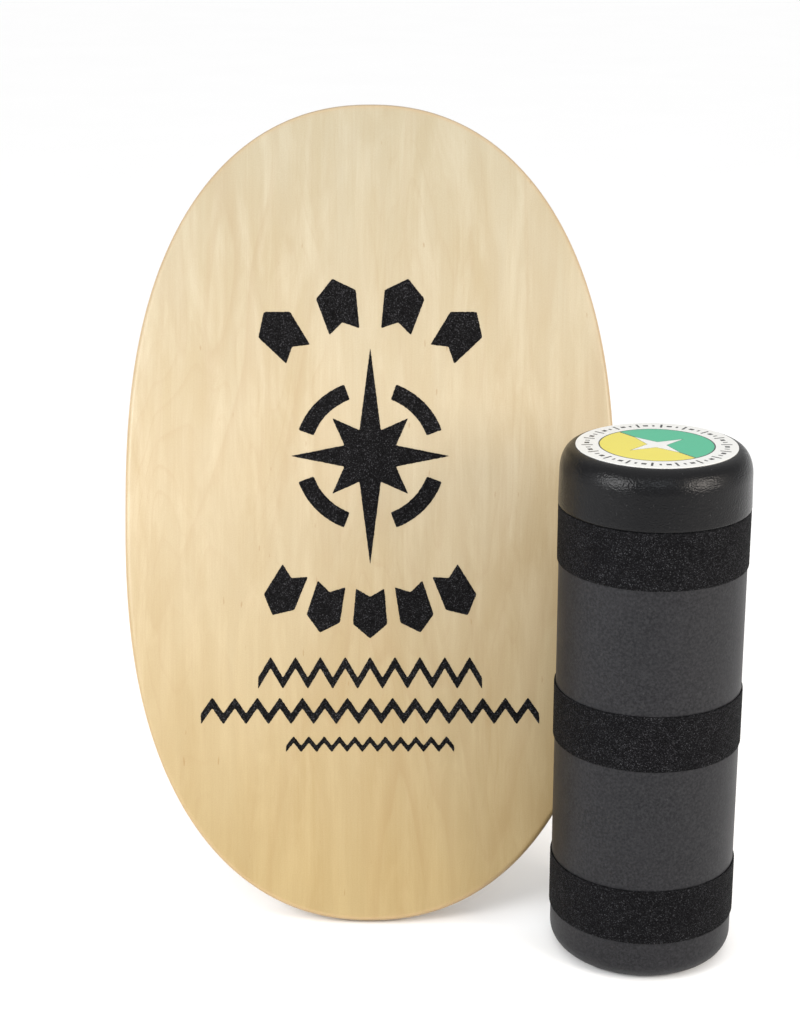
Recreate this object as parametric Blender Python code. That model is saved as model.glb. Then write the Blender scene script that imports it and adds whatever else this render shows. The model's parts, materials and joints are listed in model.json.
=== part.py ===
"""Balance board: an oval plywood deck and the hollow roller that it rides on.

The deck stands on its lower end and leans back, with its standing face to the
front (-Y).  The roller stands upright on its closed end, in front of the deck's
right edge.  Metres, +Z up.  The origin is on the floor, at the middle of the
whole object's bounding box.
"""
import math

import bmesh
import bpy
from mathutils import Vector

# ---- Driving dimensions ----------------------------------------------------
CLEAR = 0.0003                # gap between two solids that touch

DECK_HALF_WIDTH = 0.2286      # 18 in wide
DECK_HALF_LENGTH = 0.381      # 30 in long
DECK_THICKNESS = 0.019
DECK_POWER_ACROSS = 2.18      # outline is |u/a|^p + |v/b|^q = 1
DECK_POWER_ALONG = 2.50
DECK_EDGE_RADIUS = 0.005
DECK_STEPS = 128
LEAN = math.radians(20.0)     # of the deck, from upright

STOP_LENGTH = 0.200           # bars that keep the roller under the deck
STOP_WIDTH = 0.032
STOP_THICKNESS = 0.019
STOP_CORNER_RADIUS = 0.010
STOP_EDGE_RADIUS = 0.002
STOP_INSET = 0.042            # from the deck's end to the bar's outer edge

SCREW_PITCH = 0.075
SCREW_LENGTH = 0.032
SCREW_SHANK_RADIUS = 0.0021
SCREW_HEAD_RADIUS = 0.0042
SCREW_HEAD_HEIGHT = 0.0030
SCREW_RIM = 0.0004            # straight edge of the head
SCREW_POINT = 0.006
SCREW_SINK = 0.0005           # head below the bar's face
SCREW_STEPS = 16
RECESS_REACH = 0.0022         # cross recess, from its middle to an arm's end
RECESS_ARM = 0.0008
RECESS_DEPTH = 0.0018
RECESS_TAPER = 0.7            # its size at the bottom, as a share of that at the mouth
CUT_PAST = 0.001              # how far a cutter runs out past the face that it cuts

GRIT_THICKNESS = 0.0004
STAR_CENTRE = 0.050           # up the deck from its middle
STAR_ARMS = (0.074, 0.050, 0.101, 0.050)   # right, up-right, up, up-left, and again
STAR_WAIST = 0.026
RING_INNER = 0.056
RING_OUTER = 0.071
RING_GAP = math.radians(20.0)
UPPER_ROW = (0.062, 0.108, 0.158)          # arc centre up the deck, inner and outer radius
LOWER_ROW = (0.080, 0.154, 0.200)
UPPER_ANGLES = (-39.0, -13.0, 13.0, 39.0)  # degrees from straight up
LOWER_ANGLES = (-27.0, -13.5, 0.0, 13.5, 27.0)
UPPER_HALF_ANGLE = 7.6
LOWER_HALF_ANGLE = 4.9
PENNANT_SHOULDER = 0.72       # where a block's point begins, as a share of its height
PENNANT_NOTCH = 0.16          # how deep its foot is notched
# zigzag rows: middle up the deck, half length, height, stroke, teeth
ZIGZAGS = ((-0.1518, 0.104, 0.030, 0.0105, 9),
           (-0.1870, 0.157, 0.025, 0.0100, 15),
           (-0.2178, 0.078, 0.015, 0.0060, 11))

ROLLER_LENGTH = 0.470
ROLLER_STEPS = 64
TUBE_RADIUS = 0.0812
TUBE_WALL = 0.006
TUBE_FLOOR_WALL = 0.007
TUBE_BASE_RADIUS = 0.0600     # flat of the closed end
TUBE_BASE_RISE = 0.020        # height of its rounded edge
CAP_HEIGHT = 0.0515
CAP_RADIUS = 0.0828           # at the seam
CAP_SHOULDER_RADIUS = 0.0822  # at the foot of the shoulder
CAP_TOP_RADIUS = 0.0692
CAP_SHOULDER_DROP = 0.022
CAP_WALL = 0.005
CAP_LOWER_EDGE = 0.0006       # small chamfer at the seam
CAP_CEILING_RADIUS = 0.010    # inside, between the top and the spigot
SPIGOT_DEPTH = 0.025
SPIGOT_WALL = 0.004
SPIGOT_LEAD_IN = (0.001, 0.003)            # in and up, round the spigot's foot
BAND_WIDTH = 0.0508           # 2 in tape
BAND_THICKNESS = 0.0011
LOWEST_BAND = 0.040           # from the closed end to the lowest band
BANDS = 3
LABEL_RADIUS = 0.0690
LABEL_THICKNESS = 0.0004

ROLLER_ASIDE = 0.246          # roller axis from the deck's centre line
ROLLER_AHEAD = 0.155          # roller axis in front of the middle of the standing face

# ---- Places worked out from them -------------------------------------------
SIN, COS = math.sin(LEAN), math.cos(LEAN)
STOP_OUTER_EDGE = DECK_HALF_LENGTH - STOP_INSET
BACK_REACH = ((STOP_OUTER_EDGE - STOP_EDGE_RADIUS) * SIN
              + (DECK_THICKNESS + STOP_THICKNESS - STOP_EDGE_RADIUS) * COS
              + STOP_EDGE_RADIUS)
TOTAL_WIDTH = DECK_HALF_WIDTH + ROLLER_ASIDE + CAP_RADIUS
TOTAL_DEPTH = CAP_RADIUS + ROLLER_AHEAD + BACK_REACH
DECK_PLACE = Vector((
    DECK_HALF_WIDTH - TOTAL_WIDTH / 2,
    TOTAL_DEPTH / 2 - BACK_REACH,
    (DECK_HALF_LENGTH - DECK_EDGE_RADIUS) * COS
    + (DECK_THICKNESS - DECK_EDGE_RADIUS) * SIN + DECK_EDGE_RADIUS))
ROLLER_PLACE = Vector((
    DECK_PLACE.x + ROLLER_ASIDE, DECK_PLACE.y - ROLLER_AHEAD, 0.0))
CAP_SEAM = ROLLER_LENGTH - CAP_HEIGHT
SCREW_FACE = DECK_THICKNESS + STOP_THICKNESS - SCREW_SINK


# ---- Tools -----------------------------------------------------------------
def clear_scene():
    for obj in list(bpy.data.objects):
        bpy.data.objects.remove(obj, do_unlink=True)


def material(name, colour, roughness, metallic=0.0):
    mat = bpy.data.materials.new(name)
    mat.use_nodes = True
    shader = mat.node_tree.nodes["Principled BSDF"]
    shader.inputs["Base Color"].default_value = (*colour, 1.0)
    shader.inputs["Roughness"].default_value = roughness
    shader.inputs["Metallic"].default_value = metallic
    return mat


def frame_empty(name, place, tilt=0.0):
    empty = bpy.data.objects.new(name, None)
    bpy.context.collection.objects.link(empty)
    empty.location = place
    empty.rotation_euler = (tilt, 0.0, 0.0)
    return empty


def add_object(name, bm, parent, mat=None, smooth=False):
    bmesh.ops.recalc_face_normals(bm, faces=bm.faces)
    mesh = bpy.data.meshes.new(name)
    bm.to_mesh(mesh)
    bm.free()
    if smooth:
        mesh.shade_smooth()
        mesh.set_sharp_from_angle(angle=math.radians(35.0))
    if mat:
        mesh.materials.append(mat)
    obj = bpy.data.objects.new(name, mesh)
    bpy.context.collection.objects.link(obj)
    obj.parent = parent
    return obj


def extruded(outline, low, high, end_scale=1.0):
    """A prism over a closed outline in XY, between two heights."""
    bm = bmesh.new()
    face = bm.faces.new([bm.verts.new((x, y, low)) for x, y in outline])
    grown = bmesh.ops.extrude_face_region(bm, geom=[face])["geom"]
    top = [v for v in grown if isinstance(v, bmesh.types.BMVert)]
    bmesh.ops.translate(bm, verts=top, vec=(0.0, 0.0, high - low))
    bmesh.ops.scale(bm, verts=top, vec=(end_scale, end_scale, 1.0))
    return bm


def turned(profile, steps):
    """A profile of (radius, height) points, spun once round the Z axis."""
    bm = bmesh.new()
    verts = [bm.verts.new((radius, 0.0, height)) for radius, height in profile]
    edges = [bm.edges.new(pair) for pair in zip(verts, verts[1:])]
    if profile[0][0] > 0.0:
        edges.append(bm.edges.new((verts[-1], verts[0])))
    bmesh.ops.spin(bm, geom=verts + edges, cent=(0, 0, 0), axis=(0, 0, 1),
                   angle=2 * math.pi, steps=steps)
    bmesh.ops.remove_doubles(bm, verts=bm.verts, dist=0.00001)
    return bm


def quarter(centre, radius_out, radius_up, start, end, steps):
    """Points along an elliptical arc, from one angle to another (degrees)."""
    points = []
    for i in range(steps + 1):
        angle = math.radians(start + (end - start) * i / steps)
        points.append((centre[0] + radius_out * math.cos(angle),
                       centre[1] + radius_up * math.sin(angle)))
    return points


def rounded_edges(obj, radius, segments):
    bevel = obj.modifiers.new("rounded_edges", "BEVEL")
    bevel.width = radius
    bevel.segments = segments
    bevel.limit_method = "ANGLE"
    bevel.angle_limit = math.radians(60.0)


def cut_with(obj, cutters):
    for cutter in cutters:
        cut = obj.modifiers.new("cut_" + cutter.name, "BOOLEAN")
        cut.operation = "DIFFERENCE"
        cut.solver = "EXACT"
        cut.object = cutter


def as_cutter(obj):
    obj.hide_render = True
    obj.display_type = "WIRE"
    return obj


# ---- Outlines --------------------------------------------------------------
def deck_outline():
    def eased(value, power):
        return math.copysign(abs(value) ** (2.0 / power), value)

    points = []
    for i in range(DECK_STEPS):
        angle = 2 * math.pi * i / DECK_STEPS
        points.append((DECK_HALF_WIDTH * eased(math.cos(angle), DECK_POWER_ACROSS),
                       DECK_HALF_LENGTH * eased(math.sin(angle), DECK_POWER_ALONG)))
    return points


def bar_outline(length, width, corner):
    points = []
    for i, (sx, sy) in enumerate(((1, 1), (-1, 1), (-1, -1), (1, -1))):
        centre = (sx * (length / 2 - corner), sy * (width / 2 - corner))
        points += quarter(centre, corner, corner, 90 * i, 90 * i + 90, 5)
    return points


def cross_outline(reach, arm):
    return [(reach, -arm), (reach, arm), (arm, arm), (arm, reach), (-arm, reach), (-arm, arm),
            (-reach, arm), (-reach, -arm), (-arm, -arm), (-arm, -reach), (arm, -reach), (arm, -arm)]


def star_outline():
    points = []
    for i in range(8):
        tip = math.radians(45 * i)
        waist = math.radians(45 * i + 22.5)
        reach = STAR_ARMS[i % 4]
        points.append((reach * math.cos(tip), STAR_CENTRE + reach * math.sin(tip)))
        points.append((STAR_WAIST * math.cos(waist), STAR_CENTRE + STAR_WAIST * math.sin(waist)))
    return points


def ring_part_outline(quarter_turn):
    start = 90 * quarter_turn + math.degrees(RING_GAP)
    end = 90 * quarter_turn + 90 - math.degrees(RING_GAP)
    outer = quarter((0, STAR_CENTRE), RING_OUTER, RING_OUTER, start, end, 12)
    inner = quarter((0, STAR_CENTRE), RING_INNER, RING_INNER, end, start, 12)
    return outer + inner


def pennant_outline(row, degrees, half_angle, up):
    """A notched block on an arc that widens outwards and ends in a blunt point."""
    centre, inner, outer = row
    shoulder = inner + PENNANT_SHOULDER * (outer - inner)
    notch = inner + PENNANT_NOTCH * (outer - inner)
    corners = ((inner, -half_angle), (shoulder, -half_angle), (outer, 0.0),
               (shoulder, half_angle), (inner, half_angle), (notch, 0.0))
    points = []
    for radius, offset in corners:
        angle = math.radians(degrees + offset)
        points.append((radius * math.sin(angle), centre + up * radius * math.cos(angle)))
    return points


def zigzag_outline(middle, half_length, height, stroke, teeth):
    swing = (height - stroke) / 2
    count = 2 * teeth
    line = []
    for i in range(count + 1):
        line.append((half_length * (2 * i / count - 1), middle + (swing if i % 2 else -swing)))
    upper = [(x, y + stroke / 2) for x, y in line]
    lower = [(x, y - stroke / 2) for x, y in reversed(line)]
    return upper + lower


# ---- Deck ------------------------------------------------------------------
def screw_cutter(name, u, v, parent):
    """The room that one countersunk screw takes in a bar and in the deck."""
    mouth = SCREW_SINK + CUT_PAST
    shank = SCREW_SHANK_RADIUS + CLEAR
    head = SCREW_HEAD_RADIUS + CLEAR
    profile = [(0.0, SCREW_LENGTH + CLEAR),
               (shank, SCREW_LENGTH - SCREW_POINT + CLEAR),
               (shank, SCREW_HEAD_HEIGHT + CLEAR),
               (head, SCREW_RIM + CLEAR),
               (head, -mouth),
               (0.0, -mouth)]
    cutter = add_object(name, turned(profile, SCREW_STEPS), parent)
    cutter.location = (u, v, -SCREW_FACE)
    return as_cutter(cutter)


def screw(name, u, v, parent, mat):
    profile = [(0.0, SCREW_LENGTH - CLEAR),
               (SCREW_SHANK_RADIUS, SCREW_LENGTH - SCREW_POINT),
               (SCREW_SHANK_RADIUS, SCREW_HEAD_HEIGHT),
               (SCREW_HEAD_RADIUS, SCREW_RIM),
               (SCREW_HEAD_RADIUS, 0.0),
               (0.0, 0.0)]
    obj = add_object(name, turned(profile, SCREW_STEPS), parent, mat, smooth=True)
    obj.location = (u, v, -SCREW_FACE)
    cross = cross_outline(RECESS_REACH, RECESS_ARM)
    recess = extruded(cross, -CUT_PAST, RECESS_DEPTH, RECESS_TAPER)
    cutter = as_cutter(add_object("recess_" + name, recess, parent))
    cutter.location = obj.location
    cut_with(obj, [cutter])
    return obj


def stop_bar(name, v, parent, mat):
    outline = bar_outline(STOP_LENGTH, STOP_WIDTH, STOP_CORNER_RADIUS)
    bar = add_object(name, extruded(outline, -STOP_THICKNESS, -CLEAR), parent, mat)
    bar.location = (0.0, v, -DECK_THICKNESS)
    rounded_edges(bar, STOP_EDGE_RADIUS, 3)
    return bar


def make_deck(parent):
    birch = material("birch_plywood", (0.80, 0.66, 0.45), 0.45)
    ash = material("stop_hardwood", (0.62, 0.44, 0.25), 0.50)
    zinc = material("screw_zinc", (0.62, 0.62, 0.58), 0.35, 1.0)
    panel = add_object("deck_panel", extruded(deck_outline(), -DECK_THICKNESS, 0.0), parent, birch)
    rounded_edges(panel, DECK_EDGE_RADIUS, 4)

    middle = STOP_OUTER_EDGE - STOP_WIDTH / 2
    for end, v in (("head", middle), ("tail", -middle)):
        bar = stop_bar("stop_" + end, v, parent, ash)
        for i in range(3):
            u = SCREW_PITCH * (i - 1)
            cutter = screw_cutter(f"hole_{end}_{i + 1}", u, v, parent)
            cut_with(bar, [cutter])
            cut_with(panel, [cutter])
            screw(f"stop_screw_{end}_{i + 1}", u, v, parent, zinc)


def make_grit(parent):
    """Raised non-slip print on the standing face."""
    grit = material("grit_print", (0.012, 0.011, 0.011), 0.85)

    def patch(name, outline):
        add_object(name, extruded(outline, CLEAR, CLEAR + GRIT_THICKNESS), parent, grit)

    patch("grit_star", star_outline())
    for i in range(4):
        patch(f"grit_ring_{i + 1}", ring_part_outline(i))
    for i, degrees in enumerate(UPPER_ANGLES):
        patch(f"grit_upper_{i + 1}", pennant_outline(UPPER_ROW, degrees, UPPER_HALF_ANGLE, 1))
    for i, degrees in enumerate(LOWER_ANGLES):
        patch(f"grit_lower_{i + 1}", pennant_outline(LOWER_ROW, degrees, LOWER_HALF_ANGLE, -1))
    for i, row in enumerate(ZIGZAGS):
        patch(f"grit_zigzag_{i + 1}", zigzag_outline(*row))


# ---- Roller ----------------------------------------------------------------
def make_tube(parent):
    plastic = material("tube_plastic", (0.075, 0.075, 0.080), 0.60)
    inner = TUBE_RADIUS - TUBE_WALL
    rounding = TUBE_RADIUS - TUBE_BASE_RADIUS
    inner_rounding = inner - TUBE_BASE_RADIUS
    profile = [(0.0, TUBE_FLOOR_WALL)]
    profile += quarter((TUBE_BASE_RADIUS, TUBE_BASE_RISE), inner_rounding,
                       TUBE_BASE_RISE - TUBE_FLOOR_WALL, -90, 0, 5)
    profile += [(inner, CAP_SEAM - CLEAR), (TUBE_RADIUS, CAP_SEAM - CLEAR)]
    profile += quarter((TUBE_BASE_RADIUS, TUBE_BASE_RISE), rounding, TUBE_BASE_RISE, 0, -90, 7)
    profile += [(0.0, 0.0)]
    add_object("roller_tube", turned(profile, ROLLER_STEPS), parent, plastic, smooth=True)


def make_cap(parent):
    plastic = material("cap_plastic", (0.016, 0.016, 0.018), 0.38)
    spigot = TUBE_RADIUS - TUBE_WALL - CLEAR
    spigot_inner = spigot - SPIGOT_WALL
    foot = CAP_SEAM - SPIGOT_DEPTH
    ceiling = ROLLER_LENGTH - CAP_WALL
    shoulder = (CAP_TOP_RADIUS, ROLLER_LENGTH - CAP_SHOULDER_DROP)
    shoulder_out = CAP_SHOULDER_RADIUS - CAP_TOP_RADIUS
    lead_in, lead_up = SPIGOT_LEAD_IN
    inside = CAP_CEILING_RADIUS
    profile = [(0.0, ceiling)]
    profile += quarter((spigot_inner - inside, ceiling - inside), inside, inside, 90, 0, 3)
    profile += [(spigot_inner, foot),
                (spigot - lead_in, foot),
                (spigot, foot + lead_up),
                (spigot, CAP_SEAM),
                (CAP_RADIUS - CAP_LOWER_EDGE, CAP_SEAM),
                (CAP_RADIUS, CAP_SEAM + CAP_LOWER_EDGE)]
    profile += quarter(shoulder, shoulder_out, CAP_SHOULDER_DROP, 0, 90, 9)
    profile += [(0.0, ROLLER_LENGTH)]
    add_object("roller_cap", turned(profile, ROLLER_STEPS), parent, plastic, smooth=True)


def make_bands(parent):
    tape = material("grip_tape", (0.010, 0.010, 0.011), 0.90)
    highest = CAP_SEAM - BAND_WIDTH - CLEAR
    pitch = (highest - LOWEST_BAND) / (BANDS - 1)
    inner = TUBE_RADIUS + CLEAR
    outer = inner + BAND_THICKNESS
    for i in range(BANDS):
        low = highest - pitch * i
        high = low + BAND_WIDTH
        ring = [(inner, low), (inner, high), (outer, high), (outer, low)]
        add_object(f"grip_band_{i + 1}", turned(ring, ROLLER_STEPS), parent, tape, smooth=True)


def make_label(parent):
    vinyl = material("label_vinyl", (0.85, 0.86, 0.84), 0.35)
    low = ROLLER_LENGTH + CLEAR
    disc = [(0.0, low), (LABEL_RADIUS, low),
            (LABEL_RADIUS, low + LABEL_THICKNESS), (0.0, low + LABEL_THICKNESS)]
    add_object("cap_label", turned(disc, ROLLER_STEPS), parent, vinyl, smooth=True)


def main():
    clear_scene()
    deck = frame_empty("deck_frame", DECK_PLACE, math.pi / 2 - LEAN)
    make_deck(deck)
    make_grit(deck)
    roller = frame_empty("roller_axis", ROLLER_PLACE)
    make_tube(roller)
    make_cap(roller)
    make_bands(roller)
    make_label(roller)


main()
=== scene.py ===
"""Looks of the balance board: a leaning birch deck with grit print, and its standing roller.

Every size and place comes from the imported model.  Pieces of the deck are made in the deck's
own frame (u across, v along, n out of the standing face), pieces of the roller about its axis.
"""
import json
import math

import bmesh
import bpy
import numpy as np
from mathutils import Matrix, Vector
from mathutils.geometry import delaunay_2d_cdt


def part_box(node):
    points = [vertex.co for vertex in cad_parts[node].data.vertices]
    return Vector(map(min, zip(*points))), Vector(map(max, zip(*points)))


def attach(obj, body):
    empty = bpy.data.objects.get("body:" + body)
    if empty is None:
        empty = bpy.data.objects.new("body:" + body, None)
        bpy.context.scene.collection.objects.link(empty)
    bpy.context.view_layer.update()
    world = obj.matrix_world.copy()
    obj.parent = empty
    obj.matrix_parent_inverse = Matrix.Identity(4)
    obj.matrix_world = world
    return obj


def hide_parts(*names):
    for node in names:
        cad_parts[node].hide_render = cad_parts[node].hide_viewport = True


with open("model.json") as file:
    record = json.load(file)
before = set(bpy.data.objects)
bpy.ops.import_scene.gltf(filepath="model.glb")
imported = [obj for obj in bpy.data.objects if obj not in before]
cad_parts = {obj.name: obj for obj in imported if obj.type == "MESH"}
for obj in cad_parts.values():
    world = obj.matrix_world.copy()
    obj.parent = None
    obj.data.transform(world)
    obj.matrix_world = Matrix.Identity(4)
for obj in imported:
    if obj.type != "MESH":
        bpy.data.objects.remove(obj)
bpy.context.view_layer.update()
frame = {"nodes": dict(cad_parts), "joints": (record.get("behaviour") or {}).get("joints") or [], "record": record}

# ---- Named values ----------------------------------------------------------
DECK_POWERS = (2.18, 2.50)    # outline is |u/a|^p + |v/b|^q = 1
DECK_STEPS = 480
DECK_EDGE_RADIUS = 0.005
DECK_EDGE_ANGLES = np.radians(np.arange(0, 91, 7.5))
DECK_FLAT_INSETS = (3.0, 1.6)  # inner rings on the flat faces, in edge radii
PLIES = 13
GLUE_DEPTH = 0.00007          # how far a glue line is sunk in the sanded edge
GLUE_HALF_WIDTH = 0.00009

PRINT_STEP = 0.0010           # spacing of the print's surface points
PRINT_OUTLINE_STEP = 0.0008
PRINT_HEIGHT = 0.0005
PRINT_RIM_HEIGHT = 0.00028
PRINT_LEAST_HEIGHT = 0.0002
PRINT_GRAIN = 0.00012
PRINT_RAGGED = 0.00012
PRINT_THINNEST = 0.00045      # a tip ends where it gets narrower than this
PRINT_ROOM = (0.0004, 0.0012)  # no raggedness at this width, and full this much above it

STOP_CORNER_RADIUS = 0.010
STOP_EDGE_RADIUS = 0.002
SCREW_HOLE_CLEARANCE = 0.0003
SCREW_HOLE_PAST = 0.0015      # how far the hole's cutter runs out of the bar
SCREW_SINK = (0.0006, 0.0034)  # where the countersink starts and ends, below the head's face
SCREW_STEPS = 48
SCREW_SHANK = 0.5             # share of the head's radius
THREAD_ROOT = 0.72            # share of the shank's radius
SCREW_PITCH = 0.0016
# (in from the head's radius, below the head's face)
HEAD_PROFILE = ((0.00025, 0.0), (0.00008, 0.00006), (0.0, 0.00025), (0.0, 0.0005))
HEAD_HEIGHT = 0.0030
THREAD_START = 0.0045         # below the head's face
THREAD_END, SCREW_POINT = 0.007, 0.006     # back from the tip
RECESS_REACH, RECESS_ARM = 0.56, 0.16      # shares of the head's radius
RECESS_TOP, RECESS_DEPTH, RECESS_TAPER = -0.001, 0.0019, 0.55

ROLLER_STEPS = 256
TUBE_WALL = 0.006
TUBE_RIM = (0.0006, 0.0005)   # the mouth's outer and inner chamfers
TUBE_WOBBLE = 0.00008
BASE_ROUND = (0.0212, 0.020)  # how far in and how high the closed end's edge is rounded
CAP_GAP = 0.0003
CAP_WALL = 0.005
CAP_DRAFT = 0.0006
CAP_LOWER_EDGE = 0.0014
CAP_CEILING_ROUND = 0.010
CAP_WOBBLE = 0.00006
SPIGOT_WALL = 0.004
SPIGOT_LEAD_IN = (0.001, 0.003)
SHOULDER_DROP = 0.022
BAND_STEP = 0.0010
BAND_LIFT = 0.0001            # tape's back above the tube's wall
BAND_GRAIN = 0.00010
BAND_GRAIN_DROP = 0.00012     # mean surface below the tallest grains
BAND_EDGE_DROP = 0.0004       # how far the cut edges lie below the tallest grains
BAND_EDGE_RAGGED = 0.00025
BAND_SEAM_ANGLE = math.radians(62.0)
BAND_SEAM_WIDTH = 0.0008
BAND_SEAM_DEPTH = 0.0006
LABEL_STEPS = 240
LABEL_LIFT = 0.00005          # label's back above the cap's top
LABEL_EDGE = 0.0002
LABEL_DISC = 0.72             # share of the label's radius
LABEL_SPLIT_ANGLE = 125       # degrees, of the line between the disc's two colours
LABEL_LINE = 0.0012
LABEL_STAR = (0.62, 0.17)     # reach and waist, as shares of the disc's radius
LABEL_STAR_LINES = (1.6, 0.4)  # its outline's width at reach and waist, in lines
LABEL_STAR_TURN = math.radians(35)
LABEL_TICKS = 54
# (inner end, outer end, half width), the ends as shares of the label's radius
LABEL_TICK_SIZES = ((0.79, 0.93, 0.0010), (0.83, 0.89, 0.0010), (0.83, 0.89, 0.0022))
LABEL_INKS = (("label_white", (0.66, 0.66, 0.64)), ("label_black", (0.02, 0.02, 0.02)),
              ("label_yellow", (0.63, 0.55, 0.075)), ("label_green", (0.045, 0.37, 0.21)))

# Colours are linear.  Woods: pale, warm and dark tone.
BIRCH = ((0.424, 0.346, 0.221), (0.386, 0.296, 0.163), (0.295, 0.18, 0.074))
HARDWOOD = ((0.62, 0.42, 0.22), (0.50, 0.31, 0.15), (0.26, 0.14, 0.06))
# painted light on the deck: its lower end darkened as painted shade, its upper end cooled and paled as a painted
# sheen
LOWER_END_PAINTED_SHADE = (0.84, 0.76, 0.53)
UPPER_END_PAINTED_SHEEN = (0.89, 0.96, 1.07)
END_GRAIN = ((0.40, 0.25, 0.12), (0.60, 0.42, 0.22))
GLUE = (0.16, 0.075, 0.03)
ZINC = ((0.50, 0.49, 0.44), (0.74, 0.72, 0.66))
# Grits: resin, brightest grain (its colour partly a painted glint), grains to a metre, roughness
PRINT_GRIT = ((0.0008, 0.0007, 0.0007), (0.066, 0.064, 0.069), 1350.0, 0.80)
TAPE_GRIT = ((0.0008, 0.0008, 0.0012), (0.056, 0.056, 0.061), 1500.0, 0.85)

# (height, strength): a pale band at the horizon, dimmer above it, brightest overhead
DOME = ((0.0, 0.87), (0.12, 0.70), (0.30, 0.46), (1.0, 1.55))

# name: place, width, height, power in watts, colour
LIGHTS = {
    "key_left": ((-0.95, -0.98, 0.86), 0.74, 0.60, 15.0, (1.0, 1.0, 1.0)),
    "key_right": ((1.35, -1.08, 0.86), 0.76, 0.60, 20.0, (1.0, 0.93, 0.85)),
    "fill_front": ((0.1, -2.3, 1.5), 1.1, 0.4, 8.0, (0.90, 0.96, 1.0)),
    "softbox_left": ((-1.9, -0.6, 0.8), 1.0, 1.4, 5.5, (0.97, 0.98, 1.0)),
    "softbox_right": ((2.2, -0.5, 0.8), 1.0, 1.4, 4.0, (1.0, 0.94, 0.87)),
}

CAMERA_PLACE = (-0.0223, -1.9078, 0.9886)
CAMERA_DOWN = math.radians(17.981)
SENSOR_HEIGHT = 36.0
LENS = SENSOR_HEIGHT * 2200.0 / 1035.0
FLOOR_HALF = 30.0
FLOOR_DROP = 0.0002           # keeps the floor just under the pieces that stand on it

RNG_SEED = 7

NODES = frame["nodes"]
MOUNTS = {m["name"]: m for m in frame["record"]["mounts"]}
HINGE = frame["joints"][0]

# ---- The deck's frame and the roller's axis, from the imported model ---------
ACROSS = Vector((1.0, 0.0, 0.0))
FRONT = -Vector(MOUNTS["stop_head_face"]["axis"]).normalized()
ALONG = FRONT.cross(ACROSS)
AXIS = Vector(HINGE["pos_m"])


def span(node, direction):
    """Lowest and highest place of a CAD node along a direction."""
    values = [v.co.dot(direction) for v in NODES[node].data.vertices]
    return min(values), max(values)


def middle(node, direction):
    low, high = span(node, direction)
    return (low + high) / 2


def size(node, direction):
    low, high = span(node, direction)
    return high - low


DECK_FRONT = span("deck_panel", FRONT)[1]
DECK_THICKNESS = size("deck_panel", FRONT)
DECK_HALF = (size("deck_panel", ACROSS) / 2, size("deck_panel", ALONG) / 2)
DECK_MIDDLE = (ACROSS * middle("deck_panel", ACROSS)
               + ALONG * middle("deck_panel", ALONG) + FRONT * DECK_FRONT)
DECK_FRAME = Matrix((ACROSS, ALONG, FRONT)).transposed().to_4x4()
DECK_FRAME.translation = DECK_MIDDLE
ROLLER_FRAME = Matrix.Translation(Vector((AXIS.x, AXIS.y, 0.0)))


def radius_of(node):
    return max(math.hypot(v.co.x - AXIS.x, v.co.y - AXIS.y) for v in NODES[node].data.vertices)


# ---- Making pieces ---------------------------------------------------------
def finish_piece(name, mesh, matrix, body, replaced, materials):
    """Puts a piece in the scene with its body, material slot and replaced CAD nodes."""
    mesh.validate()
    obj = bpy.data.objects.new(name, mesh)
    bpy.context.scene.collection.objects.link(obj)
    obj.matrix_world = matrix
    for mat in materials:
        mesh.materials.append(mat)
    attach(obj, body)
    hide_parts(*replaced)


def mesh_from(name, verts, faces, smooth=True, sharp_angle=None):
    mesh = bpy.data.meshes.new(name)
    mesh.from_pydata([tuple(map(float, v)) for v in verts], [], faces)
    if smooth:
        mesh.shade_smooth()
    if sharp_angle:
        mesh.set_sharp_from_angle(angle=math.radians(sharp_angle))
    return mesh


def arc(centre, radius_out, radius_up, start, end, steps):
    """Points along an elliptical arc, between two angles in degrees."""
    angles = np.radians(np.linspace(start, end, steps + 1))
    return [(centre[0] + radius_out * math.cos(a), centre[1] + radius_up * math.sin(a))
            for a in angles]


def lathe(profile, steps, wobble=None):
    """A closed profile of (radius, height) points, run up the outside, turned about Z.

    A point on the axis becomes one vertex.  wobble(angle, radius, height) moves a point out.
    """
    verts, rings, faces = [], [], []
    for radius, height in profile:
        if radius < 1e-7:
            rings.append([len(verts)])
            verts.append((0.0, 0.0, height))
            continue
        ring = []
        for j in range(steps):
            angle = 2 * math.pi * j / steps
            r = radius + (wobble(angle, radius, height) if wobble else 0.0)
            ring.append(len(verts))
            verts.append((r * math.cos(angle), r * math.sin(angle), height))
        rings.append(ring)
    loops = list(zip(rings, rings[1:]))
    if len(rings[0]) > 1:
        loops.append((rings[-1], rings[0]))
    for low, high in loops:
        for j in range(steps):
            k = (j + 1) % steps
            if len(low) == 1:
                faces.append((low[0], high[k], high[j]))
            elif len(high) == 1:
                faces.append((low[j], low[k], high[0]))
            else:
                faces.append((low[j], low[k], high[k], high[j]))
    return verts, faces


# ---- Shader helpers --------------------------------------------------------
def node(tree, kind, inputs=None, **settings):
    made = tree.nodes.new("ShaderNode" + kind)
    for key, value in settings.items():
        setattr(made, key, value)
    for key, value in (inputs or {}).items():
        if isinstance(value, bpy.types.NodeSocket):
            tree.links.new(value, made.inputs[key])
        else:
            made.inputs[key].default_value = value
    return made


def calc(tree, operation, *values):
    made = tree.nodes.new("ShaderNodeMath")
    made.operation = operation
    for i, value in enumerate(values):
        if isinstance(value, bpy.types.NodeSocket):
            tree.links.new(value, made.inputs[i])
        else:
            made.inputs[i].default_value = value
    return made.outputs[0]


def ramp(tree, value, *stops):
    """A colour ramp through (place, grey or colour) stops."""
    made = node(tree, "ValToRGB", {"Fac": value})
    elements = made.color_ramp.elements
    while len(elements) < len(stops):
        elements.new(0.5)
    for element, (place, shade) in zip(elements, stops):
        element.position = place
        colour = (shade, shade, shade) if isinstance(shade, float) else shade
        element.color = (*colour, 1.0)
    return made.outputs["Color"]


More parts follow.
